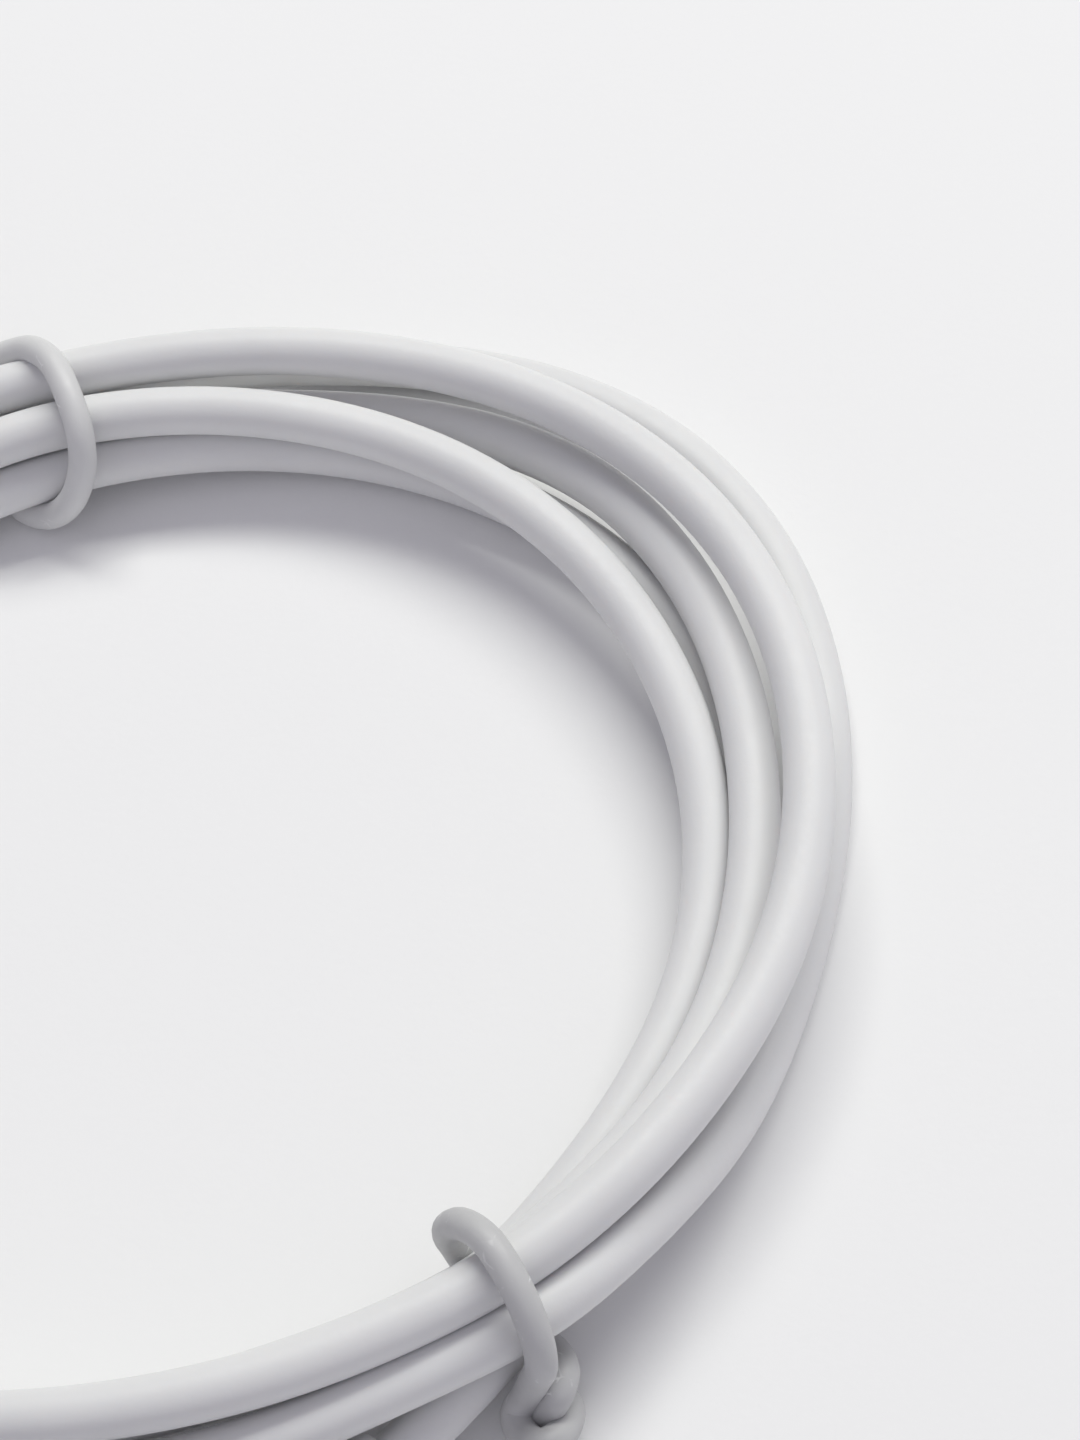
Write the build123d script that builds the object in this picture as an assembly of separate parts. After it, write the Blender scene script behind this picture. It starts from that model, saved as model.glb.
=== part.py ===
from build123d import *
import math
import os

# A coiled charging cable with a USB Type-C plug on each end, held by two twist ties.
# Lengths are in millimetres and angles in degrees. The cable lies on the plane Z = 0, the
# origin is the coil's centre, and coil angles run anticlockwise from +X, seen from above.

# --- Driving dimensions ---------------------------------------------------------------

# Cord
cord_diameter = 3.0
jacket_fit = 0.08            # radial room round the jacket in every bore it passes

# Coil: (angle, inner radius, outer radius, underside, top) of the bundle at each station
coil_stations = [
    (-60, 29.7, 37.7, 2.05, 10.2),
    (-30, 30.2, 37.8, 0.4, 9.2),
    (0, 30.4, 40.7, 0.1, 8.7),
    (30, 30.9, 45.0, 0.1, 8.4),
    (60, 31.2, 43.2, 0.3, 8.2),
    (95, 29.9, 39.4, 2.05, 8.0),
    (130, 30.6, 40.1, 0.4, 7.2),
    (185, 30.7, 40.1, 0.1, 6.4),
    (235, 30.4, 39.6, 0.15, 7.6),
    (268, 29.8, 36.2, 0.6, 9.4),
    (283, 29.7, 35.4, 1.6, 9.9),
]
coil_section_count = 24

# Twist ties
tie_diameter = 1.75
tie_core_diameter = 0.6
tie_core_fit = 0.03
tie_gap = 0.3                # room between a tie and the bundle it holds
tie_corner_radius = 2.6
tie_end_spacing = 2.1        # between the centres of a tie's two loose ends
upper_tie_angle = 95.0
upper_tie_end_length = 7.0
lower_tie_angle = -60.0
lower_tie_end_length = 5.0

# Plug shell, the standard Type-C size
shell_width = 8.25
shell_height = 2.40
shell_wall = 0.25
shell_reach = 6.65           # from the housing's front face to the shell's mouth
shell_seat = 5.0             # held inside the housing
shell_lip = 0.4              # of the shell's length, behind the insulator

# Insulator and its mating slot
insulator_fit = 0.03
insulator_setback = 0.25     # behind the shell's mouth
slot_height = 0.95
slot_depth = 5.6
latch_pocket_depth = 0.6

# Contacts
contact_pitch = 0.5
contact_count = 12
contact_width = 0.22
contact_thickness = 0.15
contact_room = 0.04
contact_setback = 1.9        # behind the shell's mouth
contact_tail = 1.4
bump_radius = 0.28
bump_drop = 0.12             # how far a contact bump stands into the slot

# Latch springs
latch_thickness = 0.15
latch_height = 0.5
latch_side_room = 0.275      # between a latch and the shell's wall, for its travel
latch_setback = 0.75         # behind the shell's mouth
latch_hook = 0.25            # how far the hook stands inwards
latch_hook_length = 0.6
latch_room = 0.1

# Ground springs
ground_width = 5.0
ground_length = 1.3
ground_thickness = 0.12
ground_setback = 0.5         # behind the shell's mouth
ground_room = 0.02
ground_finger_gap = 0.02     # between a finger and the mating slot
finger_width = 0.5
finger_spacing = 1.3
finger_count = 4

# Circuit board and its parts
board_thickness = 1.0
board_side_room = 0.555      # to the rear shield
board_length = 6.0
chip_size = (1.6, 1.6, 0.5)
resistor_size = (0.6, 1.0, 0.3)
part_gap = 0.6               # between the chip and the resistor

# Wires from the jacket's end to the board
wire_diameter = 0.6
wire_spacing_at_jacket = 1.1
wire_spacing_at_board = 4.4
wire_overlap = 1.2           # length of wire lying on the board
wire_gap = 0.02

# Rear shield, crimp ferrule, inner mould
shield_wall = 0.2
shield_fit = 0.03
shield_split = 0.04
shield_front = 4.2           # behind the housing's front face
shield_rear_room = 1.6       # behind the board
ferrule_wall = 0.3
ferrule_length = 2.6
ferrule_gap = 0.3
mould_side_wall = 0.345      # beside the rear shield
mould_top_wall = 0.32        # above and below the crimp ferrule
mould_corner_radius = 1.4
mould_front = 1.2
mould_rear_wall = 0.5
mould_fit = 0.03

# Housing and strain relief
housing_side_wall = 0.7      # beside the inner mould
housing_top_wall = 0.7       # above and below the inner mould
housing_rear_wall = 1.6      # behind the inner mould
housing_corner_radius = 2.8
housing_edge_radius = 0.7
relief_length = 9.0
relief_root_wall = 1.17      # round the jacket's bore, against the housing
relief_tip_wall = 0.92
relief_tip_radius = 0.9
relief_neck_wall = 0.52      # through the housing's rear wall
relief_groove_width = 0.6
relief_groove_depth = 0.45
relief_groove_count = 4
relief_fit = 0.03

# Places of the two plugs: the cord's exit from the strain relief, and the pointing direction
plug_a_exit = (9.3, -36.3)
plug_a_direction = 214.0
plug_b_exit = (-46.2, 12.5)
plug_b_direction = 268.0

# --- Sizes worked out from the ones above ---------------------------------------------

cord_radius = cord_diameter / 2
tie_radius = tie_diameter / 2
inner_shell_width = shell_width - 2 * shell_wall
inner_shell_height = shell_height - 2 * shell_wall
insulator_front = shell_reach - insulator_setback
slot_floor = shell_reach - slot_depth
insulator_rear = shell_lip - shell_seat
board_front = insulator_rear
board_rear = board_front - board_length
shield_rear = board_rear - shield_rear_room
ferrule_front = shield_rear - ferrule_gap
ferrule_rear = ferrule_front - ferrule_length
mould_rear = ferrule_rear - mould_rear_wall
housing_length = housing_rear_wall - mould_rear
plug_exit_x = -(housing_length + relief_length)
jacket_end = ferrule_front
jacket_hidden = jacket_end - plug_exit_x
latch_offset = inner_shell_width / 2 - latch_side_room - latch_thickness
shield_width = shell_width + 2 * (shield_fit + shield_wall)
shield_height = shell_height + 2 * (shield_fit + shield_wall)
mould_width = shield_width + 2 * mould_side_wall
jacket_bore = cord_diameter + 2 * jacket_fit
ferrule_outside = jacket_bore + 2 * ferrule_wall
mould_height = ferrule_outside + 2 * mould_top_wall
housing_width = mould_width + 2 * housing_side_wall
housing_height = mould_height + 2 * housing_top_wall
plug_axis_height = housing_height / 2
relief_root_diameter = jacket_bore + 2 * relief_root_wall
relief_tip_diameter = jacket_bore + 2 * relief_tip_wall
relief_neck_diameter = jacket_bore + 2 * relief_neck_wall
board_width = shell_width + 2 * (shield_fit - board_side_room)


# --- Helpers --------------------------------------------------------------------------


def prism(sketch, start, end):
    """A solid along X with the given section in the YZ plane, from start to end."""
    return extrude(Plane.YZ.offset(start) * sketch, amount=end - start)


def rod(diameter, start, end):
    """A round bar along X."""
    return prism(Circle(diameter / 2), start, end)


def block(start, end, width, low, high):
    """A box along X, centred on Y, between two heights."""
    middle = Pos((start + end) / 2, 0, (low + high) / 2)
    return middle * Box(end - start, width, high - low)


def coil_point(angle, radius, height, along=0.0):
    """A point by its coil angle, radius and height, moved along the turn by a length."""
    turn = math.radians(angle)
    x = radius * math.cos(turn) - along * math.sin(turn)
    y = radius * math.sin(turn) + along * math.cos(turn)
    return Vector(x, y, height)


def widest_radii(points):
    """The largest arc for each corner: 0.45 of the shorter run, over tan(half the turn)."""
    radii = []
    for before, corner, after in zip(points, points[1:], points[2:]):
        run_in = corner - before
        run_out = after - corner
        half_turn = math.radians(run_in.get_angle(run_out) / 2)
        radii.append(0.45 * min(run_in.length, run_out.length) / math.tan(half_turn))
    return radii


def tube(points, diameter, radii, bore=0.0):
    """A round tube along straight runs joined by tangent arcs."""
    path = FilletPolyline(*points, radius=radii)
    start = Plane(origin=path @ 0, z_dir=path % 0)
    section = Circle(diameter / 2) - Circle(bore / 2) if bore else Circle(diameter / 2)
    return sweep(start * section, path=path), path.length


def place(part, exit_point, direction):
    """Moves a plug's piece from its own axes to its place at one end of the cord."""
    turn = math.radians(direction)
    x = exit_point[0] - plug_exit_x * math.cos(turn)
    y = exit_point[1] - plug_exit_x * math.sin(turn)
    return Location((x, y, plug_axis_height), (0, 0, direction)) * part


def plug_point(exit_point, direction, back):
    """A point on a plug's axis, this far behind the cord's exit, towards the plug's mouth."""
    turn = math.radians(direction)
    x = exit_point[0] + back * math.cos(turn)
    y = exit_point[1] + back * math.sin(turn)
    return Vector(x, y, plug_axis_height)


def save(name, part):
    part.label = name
    export_step(part, os.path.join("parts", name + ".step"))


# --- Cord -----------------------------------------------------------------------------


def station_sizes(angle):
    """The bundle's section at an angle, eased between the stations on either side."""
    first = coil_stations[0]
    wrapped = (angle - first[0]) % 360 + first[0]
    ring = coil_stations + [(first[0] + 360,) + first[1:]]
    for low, high in zip(ring, ring[1:]):
        if low[0] <= wrapped <= high[0]:
            share = (wrapped - low[0]) / (high[0] - low[0])
            eased = (1 - math.cos(math.pi * share)) / 2
            return [a + (b - a) * eased for a, b in zip(low[1:], high[1:])]


def coil_section(angle):
    """The bundle's oval outline in the upright plane through the coil's axis."""
    inner, outer, low, high = station_sizes(angle)
    turn = math.radians(angle)
    centre = coil_point(angle, (inner + outer) / 2, (low + high) / 2)
    outward = (math.cos(turn), math.sin(turn), 0)
    along = (-math.sin(turn), math.cos(turn), 0)
    upright = Plane(origin=centre, x_dir=outward, z_dir=along)
    return upright * Ellipse((outer - inner) / 2, (high - low) / 2)


def cord_coil():
    """The outer shape of the coiled turns, as two lofts that meet face to face."""
    step = 360 / coil_section_count
    half = coil_section_count // 2
    sections = [coil_section(lower_tie_angle + step * i) for i in range(coil_section_count + 1)]
    return loft(sections[: half + 1]) + loft(sections[half:])


tail_a_route = [
    plug_point(plug_a_exit, plug_a_direction, jacket_hidden),
    plug_point(plug_a_exit, plug_a_direction, -1.0),
    coil_point(-60.5, 36.0, 3.5),
    coil_point(-47.0, 35.0, 3.6),
]

tail_b_route = [
    coil_point(104.0, 37.2, 6.2),
    coil_point(118.0, 39.4, 6.3),
    coil_point(132.0, 43.0, 5.0),
    coil_point(147.0, 46.5, 3.2),
    plug_point(plug_b_exit, plug_b_direction, -5.5),
    plug_point(plug_b_exit, plug_b_direction, jacket_hidden),
]


def cord_tail(route, name):
    radii = widest_radii(route)
    tail, length = tube(route, cord_diameter, radii)
    section_area = math.pi * cord_radius**2
    print(name, "length", round(length, 2), "radii", [round(r, 1) for r in radii])
    print(name, "volume over section times length", round(tail.volume / (section_area * length), 4))
    return tail


# --- Twist ties -----------------------------------------------------------------------


def tie_route(angle, ends):
    """A tie's path: round the bundle's section, between the two loose ends' points."""
    inner, outer, low, high = station_sizes(angle)
    reach = tie_gap + tie_radius
    side = tie_end_spacing / 2
    first_end, last_end = ends(outer + reach, high + reach)
    around = [
        coil_point(angle, inner - reach, tie_radius, side),
        coil_point(angle, inner - reach, high + reach, side),
        coil_point(angle, outer + reach, high + reach, -side),
    ]
    return first_end + around + last_end


def lower_tie_ends(outer, top):
    """Both ends lie on the floor side by side, pointing away from the coil."""
    side = tie_end_spacing / 2
    far = outer + lower_tie_end_length
    first = [coil_point(lower_tie_angle, far, tie_radius, side)]
    last = [
        coil_point(lower_tie_angle, outer, tie_radius, -side),
        coil_point(lower_tie_angle, far, tie_radius, -side),
    ]
    return first, last


def upper_tie_ends(outer, top):
    """Both ends lie along the coil's outside, one above the other."""
    side = tie_end_spacing / 2
    far = side + upper_tie_end_length
    upper_height = tie_radius + tie_end_spacing
    first = [
        coil_point(upper_tie_angle, outer + tie_diameter, tie_radius, far),
        coil_point(upper_tie_angle, outer + tie_diameter, tie_radius, side),
    ]
    last = [
        coil_point(upper_tie_angle, outer, upper_height, -side),
        coil_point(upper_tie_angle, outer + tie_diameter, upper_height, far),
    ]
    return first, last


def tie_pieces(angle, ends):
    """The plastic sleeve and the steel core wire inside it."""
    route = tie_route(angle, ends)
    widest = widest_radii(route)
    radii = [min(tie_corner_radius, r) for r in widest]
    sleeve, _ = tube(route, tie_diameter, radii, tie_core_diameter + 2 * tie_core_fit)
    core, _ = tube(route, tie_core_diameter, radii)
    return sleeve, core


# --- Plug pieces, each on the plug's own axes -----------------------------------------
# +X points out of the mouth, X = 0 is the housing's front face, and Y is the width.


def plug_shell():
    outside = SlotOverall(shell_width, shell_height)
    inside = SlotOverall(inner_shell_width, inner_shell_height)
    return prism(outside - inside, -shell_seat, shell_reach)


def contact_places():
    first = -contact_pitch * (contact_count - 1) / 2
    return [first + contact_pitch * i for i in range(contact_count)]


def contact_row(side):
    """One row of contacts; side is 1 for the upper row and -1 for the lower one."""
    front = shell_reach - contact_setback
    low = board_thickness / 2
    strip = block(insulator_rear - contact_tail, front, contact_width, low, low + contact_thickness)
    bump_x = front - bump_radius
    bump_z = slot_height / 2 - bump_drop + bump_radius
    bump = Pos(bump_x, 0, bump_z) * Rot(90, 0, 0) * Cylinder(bump_radius, contact_width)
    keep = block(bump_x - bump_radius, front, contact_width, 0, low + contact_thickness)
    contact = strip + (bump & keep)
    row = [Pos(0, y, 0) * contact for y in contact_places()]
    return row if side > 0 else [Rot(180, 0, 0) * piece for piece in row]


def insulator():
    """The plastic frame: mating slot, contact grooves, latch pockets, spring recesses."""
    fit = 2 * insulator_fit
    outside = SlotOverall(inner_shell_width - fit, inner_shell_height - fit)
    body = prism(outside, insulator_rear, insulator_front)
    body -= block(slot_floor, insulator_front, inner_shell_width, -slot_height / 2, slot_height / 2)
    groove_low = board_thickness / 2 - contact_room
    groove_high = board_thickness / 2 + contact_thickness + contact_room
    groove_width = contact_width + 2 * contact_room
    groove_front = shell_reach - contact_setback + contact_room
    groove = block(insulator_rear, groove_front, groove_width, groove_low, groove_high)
    opening = block(slot_floor, groove_front, groove_width, 0, groove_high)
    for y in contact_places():
        for turned in (0, 180):
            body -= Rot(turned, 0, 0) * Pos(0, y, 0) * (groove + opening)
    pocket_width = latch_thickness + 2 * latch_room
    pocket_half = latch_height / 2 + latch_room
    pocket_start = slot_floor - latch_pocket_depth
    pocket = block(pocket_start, slot_floor, pocket_width, -pocket_half, pocket_half)
    pocket_y = latch_offset + latch_thickness / 2
    body -= Pos(0, pocket_y, 0) * pocket
    body -= Pos(0, -pocket_y, 0) * pocket
    for turned in (0, 180):
        body -= Rot(turned, 0, 0) * ground_recess()
    return body


def latch_start():
    return slot_floor - latch_pocket_depth + latch_room


def latch(side):
    """A flat spring arm with a hook at its tip; side is 1 for +Y and -1 for -Y."""
    start = latch_start()
    tip = shell_reach - latch_setback
    half = latch_height / 2
    inner = latch_offset
    outer = latch_offset + latch_thickness
    hook_start = tip - latch_hook_length
    outline = Polygon(
        (start, inner),
        (hook_start - latch_hook, inner),
        (hook_start, inner - latch_hook),
        (tip - latch_hook, inner - latch_hook),
        (tip, inner),
        (tip, outer),
        (start, outer),
        align=None,
    )
    arm = extrude(Plane.XY.offset(-half) * outline, amount=latch_height)
    return arm if side > 0 else mirror(arm, Plane.XZ)


def ground_shape(room):
    """The plate outside the insulator's wall and its fingers, with this much room added."""
    wall_face = inner_shell_height / 2 - insulator_fit
    front = shell_reach - ground_setback
    rear = front - ground_length
    plate_low = wall_face - ground_thickness
    plate = block(rear - room, front + room, ground_width + 2 * room, plate_low - room, wall_face)
    finger_rear = rear + ground_length / 2
    finger_low = slot_height / 2 + ground_finger_gap - room * 2
    finger = block(finger_rear - room, front + room, finger_width + 2 * room, finger_low, wall_face)
    first = -finger_spacing * (finger_count - 1) / 2
    for i in range(finger_count):
        plate += Pos(0, first + finger_spacing * i, 0) * finger
    return plate


def ground_recess():
    return ground_shape(ground_room)


def ground_springs():
    spring = ground_shape(0.0)
    return [spring, Rot(180, 0, 0) * spring]


def circuit_board():
    half = board_thickness / 2
    return block(board_rear, board_front, board_width, -half, half)


def board_part(size, middle_x, y=0.0):
    """A small moulded part standing on the board's upper face."""
    length, width, height = size
    low = board_thickness / 2
    body = Pos(0, y, 0) * block(middle_x - length / 2, middle_x + length / 2, width, low, low + height)
    return chamfer(body.faces().sort_by(Axis.Z)[-1].edges(), height / 6)


def chip_middle():
    return board_front - contact_tail - part_gap - chip_size[0] / 2


def marker_chip():
    return board_part(chip_size, chip_middle())


def resistor():
    y = chip_size[1] / 2 + part_gap + resistor_size[1] / 2
    return board_part(resistor_size, chip_middle(), y)


def wire(y_side, z_side):
    """One insulated wire, from the jacket's end face to the board."""
    inside = wire_spacing_at_jacket / 2
    outside = wire_spacing_at_board / 2
    flat = board_thickness / 2 + wire_diameter / 2 + wire_gap
    bend = (jacket_end - board_rear) / 4
    points = [
        Vector(jacket_end, y_side * inside, z_side * inside),
        Vector(jacket_end - bend, y_side * inside, z_side * inside),
        Vector(board_rear + bend, y_side * outside, z_side * flat),
        Vector(board_rear + wire_overlap, y_side * outside, z_side * flat),
    ]
    radii = [min(wire_diameter, r) for r in widest_radii(points)]
    return tube(points, wire_diameter, radii)[0]


def rear_shield(side):
    """Half of the sheet-metal can over the board; side is 1 for the upper half."""
    inner_width = shield_width - 2 * shield_wall
    inner_height = shield_height - 2 * shield_wall
    outside = Rectangle(shield_width, shield_height)
    inside = Rectangle(inner_width, inner_height)
    can = prism(outside - inside, shield_rear, -shield_front)
    half = block(shield_rear, -shield_front, shield_width, shield_split / 2, shield_height)
    upper = can & half
    return upper if side > 0 else Rot(180, 0, 0) * upper


def crimp_ferrule():
    ring = Circle(ferrule_outside / 2) - Circle(jacket_bore / 2)
    return prism(ring, ferrule_rear, ferrule_front)


def shell_opening():
    return SlotOverall(shell_width + 2 * shield_fit, shell_height + 2 * shield_fit)


def inner_mould():
    """The hard filling: it holds the shield, the ferrule and the shell's root."""
    outside = RectangleRounded(mould_width, mould_height, mould_corner_radius)
    body = prism(outside, mould_rear, -mould_front)
    fit = 2 * mould_fit
    can = Rectangle(shield_width + fit, shield_height + fit)
    body -= prism(can, shield_rear - mould_fit, -shield_front + mould_fit)
    body -= prism(shell_opening(), -shield_front, -mould_front)
    body -= rod(ferrule_outside + fit, ferrule_rear - mould_fit, shield_rear)
    body -= rod(jacket_bore, mould_rear, ferrule_rear)
    return body


def housing():
    """The grip: a shell round the inner mould, open to the front and to the rear."""
    outside = RectangleRounded(housing_width, housing_height, housing_corner_radius)
    body = prism(outside, -housing_length, 0)
    ends = body.faces().sort_by(Axis.X)
    body = fillet(ends[0].edges() + ends[-1].edges(), housing_edge_radius)
    fit = 2 * mould_fit
    hollow = RectangleRounded(mould_width + fit, mould_height + fit, mould_corner_radius + mould_fit)
    body -= prism(hollow, mould_rear - mould_fit, -mould_front + mould_fit)
    body -= prism(shell_opening(), -mould_front, 0)
    body -= rod(relief_neck_diameter + 2 * relief_fit, -housing_length, mould_rear)
    return body


def strain_relief():
    """A tapered, grooved sleeve with a neck that sits in the housing's rear wall."""
    root = -housing_length
    tip = plug_exit_x
    cone = loft(
        [
            Plane.YZ.offset(tip) * Circle(relief_tip_diameter / 2),
            Plane.YZ.offset(root) * Circle(relief_root_diameter / 2),
        ]
    )
    cone = fillet(cone.faces().sort_by(Axis.X)[0].edges(), relief_tip_radius)
    pitch = relief_length / (relief_groove_count + 1)
    for i in range(1, relief_groove_count + 1):
        middle = root - pitch * i
        along = i / (relief_groove_count + 1)
        radius = (relief_root_diameter + (relief_tip_diameter - relief_root_diameter) * along) / 2
        ring = Circle(radius + relief_groove_depth) - Circle(radius - relief_groove_depth)
        cone -= prism(ring, middle - relief_groove_width / 2, middle + relief_groove_width / 2)
    neck = rod(relief_neck_diameter, root, mould_rear - 2 * mould_fit)
    body = cone + neck
    return body - rod(jacket_bore, tip, mould_rear)


def plug_pieces():
    """Every piece of one plug, by name, on the plug's own axes."""
    return {
        "shell": plug_shell(),
        "insulator": insulator(),
        "upper_contacts": Compound(children=contact_row(1)),
        "lower_contacts": Compound(children=contact_row(-1)),
        "latch_left": latch(1),
        "latch_right": latch(-1),
        "ground_springs": Compound(children=ground_springs()),
        "circuit_board": circuit_board(),
        "marker_chip": marker_chip(),
        "resistor": resistor(),
        "wire_power": wire(1, 1),
        "wire_ground": wire(-1, 1),
        "wire_signal_a": wire(1, -1),
        "wire_signal_b": wire(-1, -1),
        "rear_shield_upper": rear_shield(1),
        "rear_shield_lower": rear_shield(-1),
        "crimp_ferrule": crimp_ferrule(),
        "inner_mould": inner_mould(),
        "housing": housing(),
        "strain_relief": strain_relief(),
    }


# --- The assembly ---------------------------------------------------------------------

os.makedirs("parts", exist_ok=True)

save("cord_coil", cord_coil())
save("cord_tail_a", cord_tail(tail_a_route, "cord_tail_a"))
save("cord_tail_b", cord_tail(tail_b_route, "cord_tail_b"))

for tie_name, tie_angle, tie_ends in (
    ("upper_tie", upper_tie_angle, upper_tie_ends),
    ("lower_tie", lower_tie_angle, lower_tie_ends),
):
    tie_sleeve, tie_core = tie_pieces(tie_angle, tie_ends)
    save(tie_name + "_sleeve", tie_sleeve)
    save(tie_name + "_core_wire", tie_core)

for plug_name, plug_exit, plug_direction in (
    ("plug_a", plug_a_exit, plug_a_direction),
    ("plug_b", plug_b_exit, plug_b_direction),
):
    for piece_name, piece in plug_pieces().items():
        save(plug_name + "_" + piece_name, place(piece, plug_exit, plug_direction))
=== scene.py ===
import math

import bpy
from mathutils import Matrix, Vector


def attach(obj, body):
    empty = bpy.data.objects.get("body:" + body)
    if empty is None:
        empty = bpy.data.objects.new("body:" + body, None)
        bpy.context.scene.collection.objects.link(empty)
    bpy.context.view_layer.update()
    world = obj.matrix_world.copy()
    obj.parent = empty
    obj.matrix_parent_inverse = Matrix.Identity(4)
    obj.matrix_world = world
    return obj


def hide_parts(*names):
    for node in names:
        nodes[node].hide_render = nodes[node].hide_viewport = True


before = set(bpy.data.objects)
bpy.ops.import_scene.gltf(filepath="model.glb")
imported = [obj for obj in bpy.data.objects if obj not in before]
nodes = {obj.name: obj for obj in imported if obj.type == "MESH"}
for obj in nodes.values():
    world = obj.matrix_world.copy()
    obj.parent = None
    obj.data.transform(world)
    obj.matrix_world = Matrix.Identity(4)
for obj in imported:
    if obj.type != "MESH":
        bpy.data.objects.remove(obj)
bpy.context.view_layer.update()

# A coiled charging cable held by two twist ties, with a plug on each end. Coil angles run
# anticlockwise from +X in degrees. Radii and heights along the coil are in cord diameters.

MM = 0.001
CORD = 3.0 * MM
TIE = 1.75 * MM

# --- Camera ---------------------------------------------------------------------------

CAMERA_ELEVATION = 57.0
CAMERA_ROLL = -10.0
CAMERA_DISTANCE = 68.9 * CORD
CAMERA_TARGET = Vector((7.84 * CORD, 3.13 * CORD, 0.0))
CAMERA_LENS = 86.2
CAMERA_SENSOR = 36.0
CAMERA_CLIP_START = 0.01


def make_camera():
    """A camera that looks down at the target from -Y, and is rolled about its own view."""
    tilt = math.radians(CAMERA_ELEVATION)
    roll = math.radians(CAMERA_ROLL)
    back = Vector((0.0, -math.cos(tilt), math.sin(tilt)))
    level = Vector((1.0, 0.0, 0.0))
    upward = back.cross(level)
    right = math.cos(roll) * level + math.sin(roll) * upward
    up = -math.sin(roll) * level + math.cos(roll) * upward
    data = bpy.data.cameras.new("camera")
    data.lens = CAMERA_LENS
    data.sensor_width = CAMERA_SENSOR
    data.clip_start = CAMERA_CLIP_START
    camera = bpy.data.objects.new("camera", data)
    axes = Matrix((right, up, back)).transposed().to_4x4()
    camera.matrix_world = Matrix.Translation(CAMERA_TARGET + back * CAMERA_DISTANCE) @ axes
    bpy.context.scene.collection.objects.link(camera)
    bpy.context.scene.camera = camera


make_camera()

# --- Places along the coil ------------------------------------------------------------


def coil_point(angle, radius, height):
    """A point by its coil angle in degrees, and its radius and height in cord diameters."""
    turn = math.radians(angle)
    return CORD * Vector((radius * math.cos(turn), radius * math.sin(turn), height))


def eased(keys, angle):
    """Radius and height at an angle, on a smooth curve through (angle, radius, height) keys."""
    last = len(keys) - 2
    i = max(k for k in range(last + 1) if keys[k][0] <= angle or k == 0)
    a, b, c, d = keys[max(i - 1, 0)], keys[i], keys[i + 1], keys[min(i + 2, last + 1)]
    span = c[0] - b[0]
    t = (angle - b[0]) / span
    values = []
    for n in (1, 2):  # the radius, then the height
        slope_in = (c[n] - a[n]) / (c[0] - a[0]) * span
        slope_out = (d[n] - b[n]) / (d[0] - b[0]) * span
        value = (2 * t**3 - 3 * t**2 + 1) * b[n] + (t**3 - 2 * t**2 + t) * slope_in
        value += (3 * t**2 - 2 * t**3) * c[n] + (t**3 - t**2) * slope_out
        values.append(value)
    return values


# --- Cord -----------------------------------------------------------------------------

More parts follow.
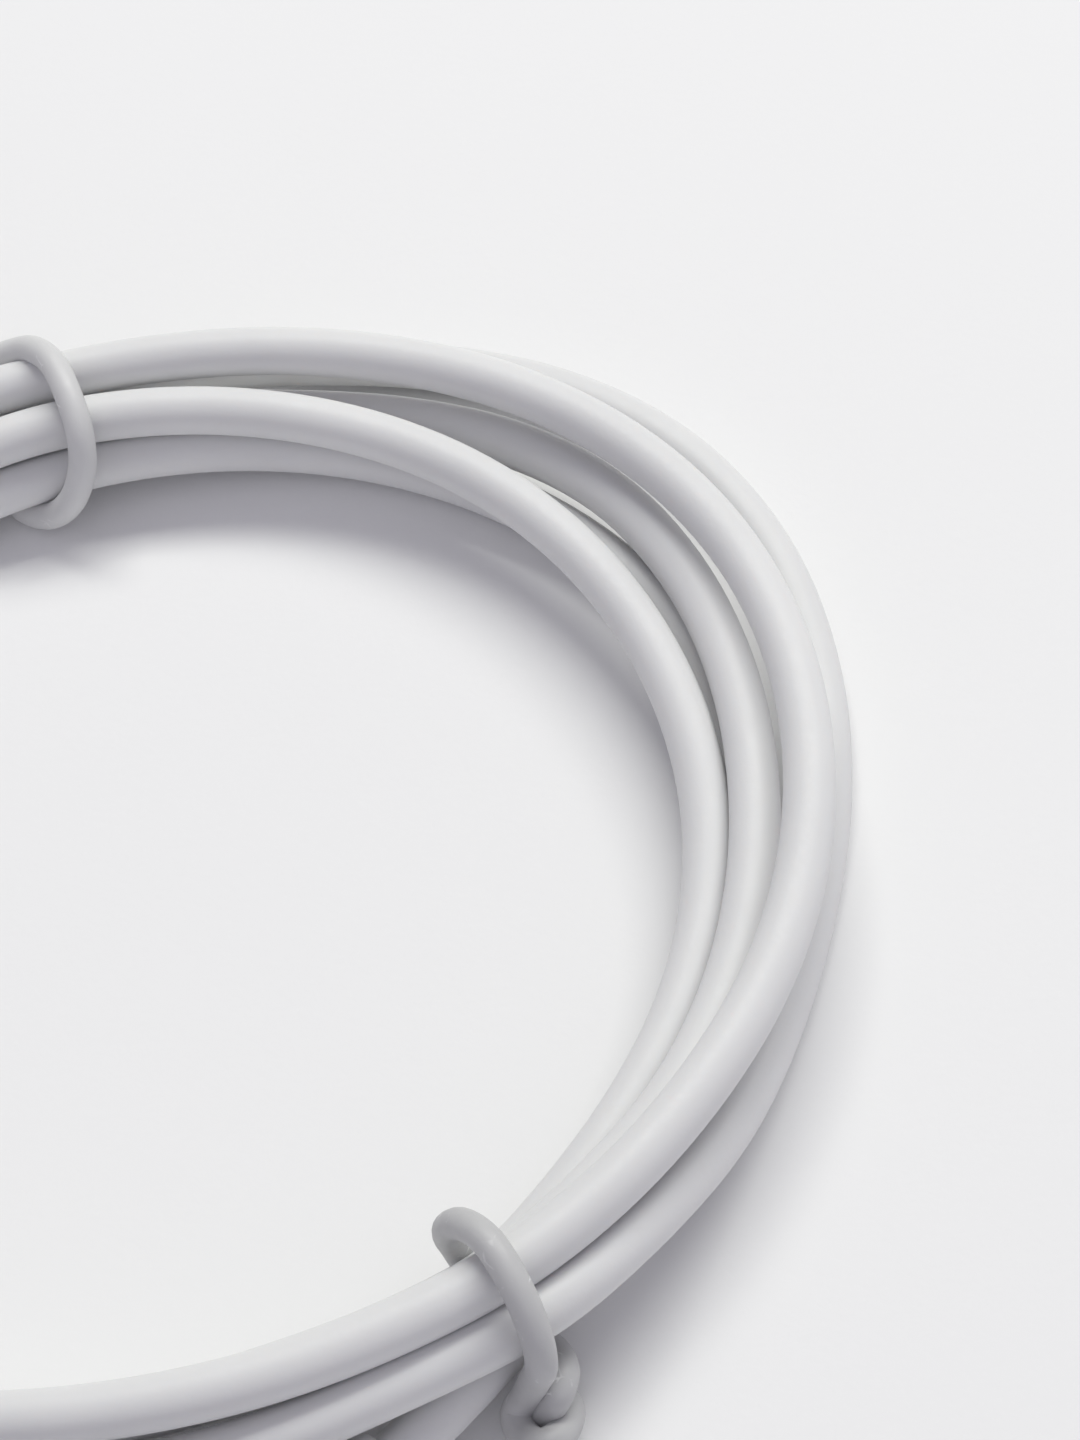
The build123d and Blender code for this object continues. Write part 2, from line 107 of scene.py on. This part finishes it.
# Each turn starts at the lower tie, passes the right side, the upper tie and the left side.
# (angle, radius, height), the radius and height in cord diameters.
TURNS = [
    # the floor turn, which starts at plug A and lies innermost at the upper tie
    [
        (-60, 11.46, 1.09), (-50, 11.24, 0.75), (-40, 11.12, 0.55), (-20, 11.30, 0.50),
        (0, 11.65, 0.50), (20, 11.78, 0.50), (40, 11.58, 0.50), (60, 11.25, 0.60),
        (80, 10.84, 0.90), (95, 10.61, 1.10), (104, 10.62, 1.09), (125, 10.68, 0.70),
        (145, 10.72, 0.50), (190, 10.75, 0.51), (235, 10.70, 0.54), (270, 10.44, 0.83),
        (285, 10.38, 0.99),
    ],
    # the inner turn, which lies on the floor and middle turns at the upper tie
    [
        (-60, 10.43, 1.07), (-50, 10.27, 1.10), (-40, 10.24, 1.05), (-20, 10.46, 0.95),
        (0, 10.70, 1.10), (20, 10.83, 1.40), (40, 10.97, 1.60), (60, 11.07, 1.70),
        (80, 11.08, 1.90), (95, 11.10, 2.05), (115, 11.15, 1.85), (140, 11.27, 1.40),
        (190, 11.30, 1.37), (240, 11.22, 1.42), (265, 10.72, 1.78), (280, 10.48, 1.94),
    ],
    # the middle turn, which rests on the floor turn and passes under the upper turn
    [
        (-60, 10.84, 2.02), (-50, 10.88, 2.00), (-40, 11.07, 1.85), (-20, 11.32, 1.55),
        (0, 11.65, 1.53), (20, 12.18, 1.38), (30, 12.42, 1.30), (40, 12.55, 1.20),
        (50, 12.40, 1.05), (60, 12.12, 0.92), (70, 11.92, 0.76), (80, 11.84, 0.78),
        (90, 11.72, 1.00), (96, 11.66, 1.10), (104, 11.66, 1.09), (125, 11.76, 0.70),
        (145, 11.83, 0.50), (190, 11.84, 0.50), (235, 11.86, 0.60), (250, 11.92, 1.10),
        (265, 11.82, 1.74), (280, 11.70, 2.12), (290, 11.70, 2.24),
    ],
    # the outer turn, down on the floor on the right side
    [
        (-60, 12.05, 2.36), (-50, 12.00, 2.00), (-40, 12.08, 1.40), (-30, 12.14, 0.88),
        (-20, 12.22, 0.56), (-10, 12.57, 0.50), (0, 13.05, 0.50), (10, 13.60, 0.50),
        (20, 14.12, 0.50), (30, 14.52, 0.50), (40, 14.62, 0.50), (50, 14.38, 0.50),
        (60, 13.93, 0.50), (80, 13.00, 0.80), (95, 12.60, 1.15), (104, 12.64, 1.09),
        (125, 12.80, 0.70), (145, 12.88, 0.50), (180, 12.90, 0.50), (200, 12.90, 0.60),
        (215, 12.60, 1.20), (230, 12.00, 2.00), (245, 11.46, 2.45), (258, 11.13, 2.72),
        (272, 10.98, 2.86), (288, 11.03, 2.95),
    ],
    # the upper turn, arched over the others, which leaves the coil past the upper tie
    [
        (-60, 11.27, 2.95), (-40, 11.61, 2.75), (-20, 12.22, 2.55), (0, 12.75, 2.40),
        (20, 13.13, 2.30), (40, 13.07, 2.30), (60, 12.66, 2.25), (80, 12.33, 2.18),
        (95, 12.28, 2.13), (106, 12.45, 2.10), (120, 13.20, 2.10),
    ],
]
# the loose end beyond the upper turn, on its way to plug B
TAIL_B = [(132.0, 14.35, 1.67), (147.0, 15.50, 1.07)]
POINTS_PER_TURN = 30
QUADRATIC_ORDER = 3
# how finely a bar is cut along its spline, and its bevel resolution
CORD_STEPS = 6
CORD_ROUNDNESS = 10

PLUG_HEIGHT = 2.9 * MM
PLUG_A_EXIT = Vector((9.3 * MM, -36.3 * MM, PLUG_HEIGHT))
PLUG_A_DIRECTION = 214.0
PLUG_B_EXIT = Vector((-46.2 * MM, 12.5 * MM, PLUG_HEIGHT))
PLUG_B_DIRECTION = 268.0
# the cord ends this far inside each plug, and its control point outside is this far out
JACKET_HIDDEN = 13.7 * MM
PLUG_A_LEAD = 1.0 * MM
PLUG_B_LEAD = 5.5 * MM


def plug_point(plug_exit, direction, back):
    """A point on a plug's axis, this far behind the cord's exit, towards the plug's mouth."""
    turn = math.radians(direction)
    return plug_exit + back * Vector((math.cos(turn), math.sin(turn), 0.0))


def cord_points():
    """The cord's control points, from inside plug A, round the coil, to inside plug B."""
    keys = []
    for number, turn in enumerate(TURNS):
        keys += [(angle + 360 * number, radius, height) for angle, radius, height in turn]
    points = [
        plug_point(PLUG_A_EXIT, PLUG_A_DIRECTION, JACKET_HIDDEN),
        plug_point(PLUG_A_EXIT, PLUG_A_DIRECTION, -PLUG_A_LEAD),
    ]
    step = 360 / POINTS_PER_TURN
    # a quadratic spline runs this much inside evenly spaced control points on a circle
    spread = 1 / math.cos(math.radians(step / 2))
    count = int((keys[-1][0] - keys[0][0]) / step)
    for i in range(count + 1):
        angle = keys[0][0] + step * i
        radius, height = eased(keys, angle)
        points.append(coil_point(angle, radius * spread, height))
    points += [coil_point(*place) for place in TAIL_B]
    points += [
        plug_point(PLUG_B_EXIT, PLUG_B_DIRECTION, -PLUG_B_LEAD),
        plug_point(PLUG_B_EXIT, PLUG_B_DIRECTION, JACKET_HIDDEN),
    ]
    return points


def make_curve(name, points, diameter, steps, roundness):
    """A round bar along a quadratic spline with these points as its control points."""
    data = bpy.data.curves.new(name, "CURVE")
    data.dimensions = "3D"
    data.bevel_depth = diameter / 2
    data.bevel_resolution = roundness
    data.resolution_u = steps
    data.use_fill_caps = True
    spline = data.splines.new("NURBS")
    spline.points.add(len(points) - 1)
    for point, place in zip(spline.points, points):
        point.co = (*place, 1.0)
    spline.order_u = QUADRATIC_ORDER
    spline.use_endpoint_u = True
    curve = bpy.data.objects.new(name, data)
    bpy.context.scene.collection.objects.link(curve)
    return curve


cord = make_curve("charging_cord", cord_points(), CORD, CORD_STEPS, CORD_ROUNDNESS)

# --- Twist ties -----------------------------------------------------------------------

TIE_CORE = 0.6 * MM
TIE_PATH_STEPS = 5
TIE_STEPS = 3
SLEEVE_ROUNDNESS = 8
CORE_ROUNDNESS = 4

# Each is a path of (angle, radius, height) round the bundle.
UPPER_TIE_LOOP = [
    (101.0, 13.52, 1.72), (98.6, 13.28, 2.08), (96.4, 12.95, 2.46), (95.0, 12.52, 2.78),
    (93.7, 11.92, 2.94), (92.8, 11.10, 2.88), (92.4, 10.40, 2.55), (93.1, 9.98, 1.90),
    (95.2, 9.80, 1.20), (98.2, 9.98, 0.60), (101.0, 10.52, 0.31), (102.4, 11.30, 0.30),
    (102.6, 12.40, 0.30), (102.4, 13.35, 0.62),
]
UPPER_TWIST_ANGLES = (103.5, 112.5)
UPPER_TWIST_RADIUS = 13.82
UPPER_TWIST_HEIGHT = 1.50
UPPER_TWIST_CLEARANCE = 0.01
UPPER_TWIST_PLACES = 10
UPPER_TWIST_TURN = 50  # degrees from one place to the next
LOWER_TIE_LOOP = [
    # one end, hooked round the other
    (-61.2, 12.80, 0.31), (-61.6, 13.10, 0.40), (-63.1, 13.40, 0.62), (-65.0, 13.45, 0.82),
    (-65.6, 13.04, 0.64), (-65.1, 12.64, 0.64), (-63.7, 12.60, 1.00), (-62.9, 12.70, 1.66),
    # over the strands and down inside the coil
    (-62.5, 12.86, 2.35), (-61.9, 12.66, 2.98), (-61.1, 11.99, 3.57), (-60.5, 11.05, 3.76),
    (-60.8, 10.32, 3.38), (-61.4, 9.93, 2.75), (-61.3, 9.74, 2.05), (-60.7, 9.64, 1.35),
    # under the strands, to the other end
    (-60.3, 9.80, 0.66), (-60.4, 10.30, 0.31), (-60.3, 10.90, 0.30), (-59.7, 11.45, 0.30),
    (-59.4, 11.90, 0.40), (-59.7, 12.32, 0.80), (-60.6, 12.76, 1.18), (-62.1, 12.98, 1.07),
    (-63.4, 12.90, 0.48),
]


def smooth_path(places):
    """Points along a smooth curve that passes through every one of these places."""
    path = []
    for i in range(len(places) - 1):
        a = places[max(i - 1, 0)]
        b, c = places[i], places[i + 1]
        d = places[min(i + 2, len(places) - 1)]
        for n in range(TIE_PATH_STEPS):
            t = n / TIE_PATH_STEPS
            curve = 2 * b + (c - a) * t + (2 * a - 5 * b + 4 * c - d) * t**2
            path.append((curve + (3 * b - a - 3 * c + d) * t**3) / 2)
    return path + [places[-1]]


def upper_twist(phase):
    """One of the upper tie's two ends, wound round the other."""
    first, last = UPPER_TWIST_ANGLES
    reach = TIE / CORD / 2 + UPPER_TWIST_CLEARANCE
    places = []
    for n in range(UPPER_TWIST_PLACES):
        turn = phase + math.radians(UPPER_TWIST_TURN * n)
        angle = first + (last - first) * n / (UPPER_TWIST_PLACES - 1)
        radius = UPPER_TWIST_RADIUS + reach * math.cos(turn)
        places.append(coil_point(angle, radius, UPPER_TWIST_HEIGHT + reach * math.sin(turn)))
    return places


def make_bar(name, points, diameter, roundness):
    """A round bar along these points, as a mesh."""
    curve = make_curve(name + "_path", points, diameter, TIE_STEPS, roundness)
    bpy.context.view_layer.update()
    shape = curve.evaluated_get(bpy.context.evaluated_depsgraph_get())
    bar = bpy.data.objects.new(name, bpy.data.meshes.new_from_object(shape))
    bpy.context.scene.collection.objects.link(bar)
    bpy.data.objects.remove(curve)
    return bar


def make_tie(name, places):
    """A plastic sleeve through these places, and a steel core that stops short of its ends."""
    path = smooth_path(places)
    sleeve = make_bar(name + "_tie", path, TIE, SLEEVE_ROUNDNESS)
    core = make_bar(name + "_tie_core", path[1:-1], TIE_CORE, CORE_ROUNDNESS)
    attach(sleeve, "cable")
    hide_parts(name + "_tie_sleeve")
    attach(core, "cable")
    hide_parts(name + "_tie_core_wire")
    return sleeve, core


upper_loop = [coil_point(*place) for place in UPPER_TIE_LOOP]
upper_places = upper_twist(math.pi / 2)[::-1] + upper_loop + upper_twist(-math.pi / 2)
upper_tie, upper_core = make_tie("upper", upper_places)
lower_places = [coil_point(*place) for place in LOWER_TIE_LOOP]
lower_tie, lower_core = make_tie("lower", lower_places)

# --- Materials ------------------------------------------------------------------------

SUBSURFACE_RADIUS = (1.0, 0.9, 0.8)
SUBSURFACE_SCALE = 0.0012
NOISE_DETAIL = 3.0
NOISE_MIDDLE = (0.3, 0.7)

TIE_MOTTLE = 160.0
TIE_GRAIN = 1800.0
TIE_GRAIN_DEPTH = 0.00002
TIE_ROUGHNESS = (0.42, 0.56)
CREASE_COLOUR = (0.92, 0.92, 0.92, 1.0)
CREASE_SCALE = 900.0
CREASE_WIDTH = (0.02, 0.06)
CREASED_PATCH_SCALE = 520.0
CREASED_PATCHES = (0.60, 0.68)

# the sockets of a Mix node that mixes colours
MIX_FACTOR, MIX_FIRST, MIX_SECOND = 0, 6, 7
MIX_RESULT = 2

BLACK, WHITE = (0, 0, 0), (1, 1, 1)


def new_material(name, metallic=0.0, specular=0.5, transmission=0.0, subsurface=0.0):
    """A material, its node tree and its shader."""
    material = bpy.data.materials.new(name)
    material.use_nodes = True
    tree = material.node_tree
    tree.nodes.clear()
    output = tree.nodes.new("ShaderNodeOutputMaterial")
    shader = tree.nodes.new("ShaderNodeBsdfPrincipled")
    tree.links.new(shader.outputs[0], output.inputs["Surface"])
    shader.inputs["Metallic"].default_value = metallic
    shader.inputs["Specular IOR Level"].default_value = specular
    shader.inputs["Transmission Weight"].default_value = transmission
    shader.inputs["Subsurface Weight"].default_value = subsurface
    shader.inputs["Subsurface Radius"].default_value = SUBSURFACE_RADIUS
    shader.inputs["Subsurface Scale"].default_value = SUBSURFACE_SCALE
    return material, tree, shader


def add_noise(tree, scale, stretch=(1.0, 1.0, 1.0)):
    """Noise on the object's own coordinates, in features per metre."""
    place = tree.nodes.new("ShaderNodeTexCoord")
    mapping = tree.nodes.new("ShaderNodeMapping")
    mapping.inputs["Scale"].default_value = stretch
    noise = tree.nodes.new("ShaderNodeTexNoise")
    noise.inputs["Scale"].default_value = scale
    noise.inputs["Detail"].default_value = NOISE_DETAIL
    tree.links.new(place.outputs["Object"], mapping.inputs["Vector"])
    tree.links.new(mapping.outputs["Vector"], noise.inputs["Vector"])
    return noise


def add_ramp(tree, source, low, high, start=0.35, end=0.65):
    """Colours from low to high across the middle of a noise."""
    ramp = tree.nodes.new("ShaderNodeValToRGB")
    ramp.color_ramp.elements[0].position = start
    ramp.color_ramp.elements[1].position = end
    ramp.color_ramp.elements[0].color = (*low, 1.0)
    ramp.color_ramp.elements[1].color = (*high, 1.0)
    tree.links.new(source, ramp.inputs["Fac"])
    return ramp


def add_range(tree, source, low, high):
    """Numbers from low to high across the middle of a noise."""
    spread = tree.nodes.new("ShaderNodeMapRange")
    spread.inputs["From Min"].default_value = NOISE_MIDDLE[0]
    spread.inputs["From Max"].default_value = NOISE_MIDDLE[1]
    spread.inputs["To Min"].default_value = low
    spread.inputs["To Max"].default_value = high
    tree.links.new(source, spread.inputs["Value"])
    return spread


def add_bump(tree, shader, source, depth):
    """A relief this deep, in metres."""
    bump = tree.nodes.new("ShaderNodeBump")
    bump.inputs["Distance"].default_value = depth
    tree.links.new(source, bump.inputs["Height"])
    tree.links.new(bump.outputs["Normal"], shader.inputs["Normal"])


def plain_finish(name, low, high, rough, mottle, grain, depth, stretch=(1, 1, 1), **facts):
    """Broad mottling between two colours, a roughness that wanders, and a fine grain.

    mottle and grain are in features per metre, and depth, the grain's, in metres.
    """
    material, tree, shader = new_material(name, **facts)
    broad = add_noise(tree, mottle, stretch=stretch)
    fine = add_noise(tree, grain, stretch=stretch)
    ramp = add_ramp(tree, broad.outputs["Fac"], low, high)
    spread = add_range(tree, fine.outputs["Fac"], *rough)
    tree.links.new(ramp.outputs["Color"], shader.inputs["Base Color"])
    tree.links.new(spread.outputs["Result"], shader.inputs["Roughness"])
    add_bump(tree, shader, fine.outputs["Fac"], depth)
    return material


def jacket_finish():
    """Soft matt white jacket, faintly uneven along its length, with a very fine grain."""
    return plain_finish(
        "jacket_white", (0.714, 0.715, 0.718), (0.740, 0.740, 0.741), (0.42, 0.56),
        mottle=90.0, grain=2600.0, depth=0.00001, specular=0.35, subsurface=0.25,
    )


def tie_finish(name, low, high, transmission):
    """Milky plastic sleeve, with small whitish creases where it has been bent."""
    material, tree, shader = new_material(name, transmission=transmission)
    broad = add_noise(tree, TIE_MOTTLE)
    base = add_ramp(tree, broad.outputs["Fac"], low, high)
    place = tree.nodes.new("ShaderNodeTexCoord")
    cells = tree.nodes.new("ShaderNodeTexVoronoi")
    cells.feature = "DISTANCE_TO_EDGE"
    cells.inputs["Scale"].default_value = CREASE_SCALE
    tree.links.new(place.outputs["Object"], cells.inputs["Vector"])
    edges = add_ramp(tree, cells.outputs["Distance"], WHITE, BLACK, *CREASE_WIDTH)
    blotches = add_noise(tree, CREASED_PATCH_SCALE)
    patches = add_ramp(tree, blotches.outputs["Fac"], BLACK, WHITE, *CREASED_PATCHES)
    creases = tree.nodes.new("ShaderNodeMath")
    creases.operation = "MULTIPLY"
    tree.links.new(edges.outputs["Color"], creases.inputs[0])
    tree.links.new(patches.outputs["Color"], creases.inputs[1])
    mix = tree.nodes.new("ShaderNodeMix")
    mix.data_type = "RGBA"
    mix.inputs[MIX_SECOND].default_value = CREASE_COLOUR
    tree.links.new(creases.outputs["Value"], mix.inputs[MIX_FACTOR])
    tree.links.new(base.outputs["Color"], mix.inputs[MIX_FIRST])
    tree.links.new(mix.outputs[MIX_RESULT], shader.inputs["Base Color"])
    fine = add_noise(tree, TIE_GRAIN)
    spread = add_range(tree, fine.outputs["Fac"], *TIE_ROUGHNESS)
    tree.links.new(spread.outputs["Result"], shader.inputs["Roughness"])
    add_bump(tree, shader, fine.outputs["Fac"], TIE_GRAIN_DEPTH)
    return material


white_low, white_high = (0.706, 0.708, 0.712), (0.732, 0.732, 0.733)
steel_low, steel_high = (0.52, 0.52, 0.53), (0.66, 0.66, 0.67)
steel = dict(mottle=300.0, grain=2500.0, depth=0.000004, metallic=1.0)
wire_skin = dict(rough=(0.38, 0.50), mottle=600.0, grain=3500.0, depth=0.000006)
finishes = {
    "cord_jacket": jacket_finish(),
    "upper_tie_sleeve": tie_finish(
        "tie_milky", (0.74, 0.74, 0.74), (0.79, 0.79, 0.79), transmission=0.16
    ),
    # the lower tie is the same milky plastic as the upper one; its darker base colour here is
    # painted shade
    "lower_tie_sleeve": tie_finish(
        "tie_milky_painted_shade", (0.58, 0.58, 0.59), (0.64, 0.64, 0.64), transmission=0.18
    ),
    "tie_core": plain_finish("core_zinc", steel_low, steel_high, (0.35, 0.5), **steel),
    "plug_shell": plain_finish(
        "shell_nickel", (0.62, 0.62, 0.62), (0.68, 0.68, 0.67), (0.22, 0.31),
        mottle=220.0, grain=1800.0, depth=0.0000006, stretch=(1, 1, 8), metallic=1.0,
    ),
    "insulator": plain_finish(
        "insulator_black", (0.018, 0.018, 0.020), (0.030, 0.030, 0.032), (0.45, 0.60),
        mottle=400.0, grain=4000.0, depth=0.000006,
    ),
    "contacts": plain_finish(
        "contact_gold", (0.75, 0.52, 0.20), (0.86, 0.62, 0.27), (0.22, 0.34),
        mottle=500.0, grain=3000.0, depth=0.000003, metallic=1.0,
    ),
    "latch": plain_finish("latch_steel", steel_low, steel_high, (0.25, 0.38), **steel),
    "ground_spring": plain_finish("spring_steel", steel_low, steel_high, (0.28, 0.42), **steel),
    "board": plain_finish(
        "board_green", (0.010, 0.085, 0.040), (0.016, 0.120, 0.055), (0.30, 0.45),
        mottle=500.0, grain=2500.0, depth=0.000008,
    ),
    "chip": plain_finish(
        "chip_black", (0.020, 0.020, 0.021), (0.032, 0.032, 0.033), (0.55, 0.70),
        mottle=700.0, grain=6000.0, depth=0.000006,
    ),
    "resistor": plain_finish(
        "resistor_dark", (0.030, 0.032, 0.040), (0.050, 0.052, 0.060), (0.40, 0.55),
        mottle=900.0, grain=6000.0, depth=0.000004,
    ),
    "wire_red": plain_finish(
        "wire_red_skin", (0.50, 0.020, 0.018), (0.60, 0.032, 0.026), **wire_skin
    ),
    "wire_black": plain_finish(
        "wire_black_skin", (0.016, 0.016, 0.017), (0.028, 0.028, 0.029), **wire_skin
    ),
    "wire_green": plain_finish(
        "wire_green_skin", (0.020, 0.240, 0.060), (0.030, 0.300, 0.080), **wire_skin
    ),
    "wire_white": plain_finish(
        "wire_white_skin", (0.70, 0.70, 0.69), (0.78, 0.78, 0.77), **wire_skin
    ),
    "rear_shield": plain_finish(
        "shield_tinplate", steel_low, steel_high, (0.30, 0.45), **steel
    ),
    "ferrule": plain_finish(
        "ferrule_brass", (0.60, 0.50, 0.30), (0.70, 0.60, 0.38), (0.28, 0.40), **steel
    ),
    "inner_mould": plain_finish(
        "mould_natural", (0.66, 0.66, 0.62), (0.74, 0.74, 0.70), (0.40, 0.55),
        mottle=250.0, grain=2500.0, depth=0.00001, transmission=0.1,
    ),
    "housing": plain_finish(
        "housing_white", white_low, white_high, (0.34, 0.46),
        mottle=120.0, grain=3200.0, depth=0.00001, specular=0.45, subsurface=0.2,
    ),
    "strain_relief": plain_finish(
        "relief_white", white_low, white_high, (0.46, 0.60),
        mottle=120.0, grain=2600.0, depth=0.00001, specular=0.35, subsurface=0.25,
    ),
}

for node in nodes.values():
    for index, old in enumerate(node.data.materials):
        node.data.materials[index] = finishes[old.name]
cord.data.materials.append(finishes["cord_jacket"])
upper_tie.data.materials.append(finishes["upper_tie_sleeve"])
upper_core.data.materials.append(finishes["tie_core"])
lower_tie.data.materials.append(finishes["lower_tie_sleeve"])
lower_core.data.materials.append(finishes["tie_core"])

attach(cord, "cable")
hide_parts("cord_coil", "cord_tail_a", "cord_tail_b")

# --- Floor and light ------------------------------------------------------------------

FLOOR_HALF = 1.5
LAMP_COLOUR = (0.989, 1.0, 0.945)
LAMP_PLACE = (0.54, 0.75, 1.12)
LAMP_WIDTH = 1.50
LAMP_HEIGHT = 0.32
LAMP_ENERGY = 17.5
FILL_COLOUR = (0.918, 0.898, 1.0, 1.0)
FILL_BEHIND = 0.26
FILL_IN_FRONT = 0.60


def make_floor():
    """A flat white table top, level with the frame's floor."""
    mesh = bpy.data.meshes.new("floor")
    signs = [(-1, -1), (1, -1), (1, 1), (-1, 1)]
    corners = [(FLOOR_HALF * x, FLOOR_HALF * y, 0.0) for x, y in signs]
    mesh.from_pydata(corners, [], [(0, 1, 2, 3)])
    floor = bpy.data.objects.new("floor", mesh)
    bpy.context.scene.collection.objects.link(floor)
    floor.data.materials.append(
        plain_finish(
            "paper_white", (0.870, 0.870, 0.870), (0.876, 0.876, 0.876), (0.8, 0.9),
            mottle=12.0, grain=2000.0, depth=0.00001, specular=0.1,
        )
    )


def make_lamp():
    """A long soft lamp above and behind the coil, parallel to the X axis and facing it."""
    data = bpy.data.lights.new("window", "AREA")
    data.shape = "RECTANGLE"
    data.size = LAMP_WIDTH
    data.size_y = LAMP_HEIGHT
    data.color = LAMP_COLOUR
    data.energy = LAMP_ENERGY
    lamp = bpy.data.objects.new("window", data)
    lamp.rotation_euler = (-math.atan2(LAMP_PLACE[1], LAMP_PLACE[2]), 0, 0)
    lamp.location = LAMP_PLACE
    bpy.context.scene.collection.objects.link(lamp)


def make_world():
    """Soft light from all round, brighter from the front, so that shadows stay open."""
    world = bpy.data.worlds.new("studio")
    world.use_nodes = True
    tree = world.node_tree
    background = tree.nodes["Background"]
    background.inputs["Color"].default_value = FILL_COLOUR
    place = tree.nodes.new("ShaderNodeTexCoord")
    axes = tree.nodes.new("ShaderNodeSeparateXYZ")
    spread = tree.nodes.new("ShaderNodeMapRange")
    spread.inputs["From Min"].default_value = -1.0
    spread.inputs["From Max"].default_value = 1.0
    spread.inputs["To Min"].default_value = FILL_IN_FRONT
    spread.inputs["To Max"].default_value = FILL_BEHIND
    tree.links.new(place.outputs["Generated"], axes.inputs["Vector"])
    tree.links.new(axes.outputs["Y"], spread.inputs["Value"])
    tree.links.new(spread.outputs["Result"], background.inputs["Strength"])
    bpy.context.scene.world = world


make_floor()
make_lamp()
make_world()
bpy.context.scene.view_settings.view_transform = "Standard"
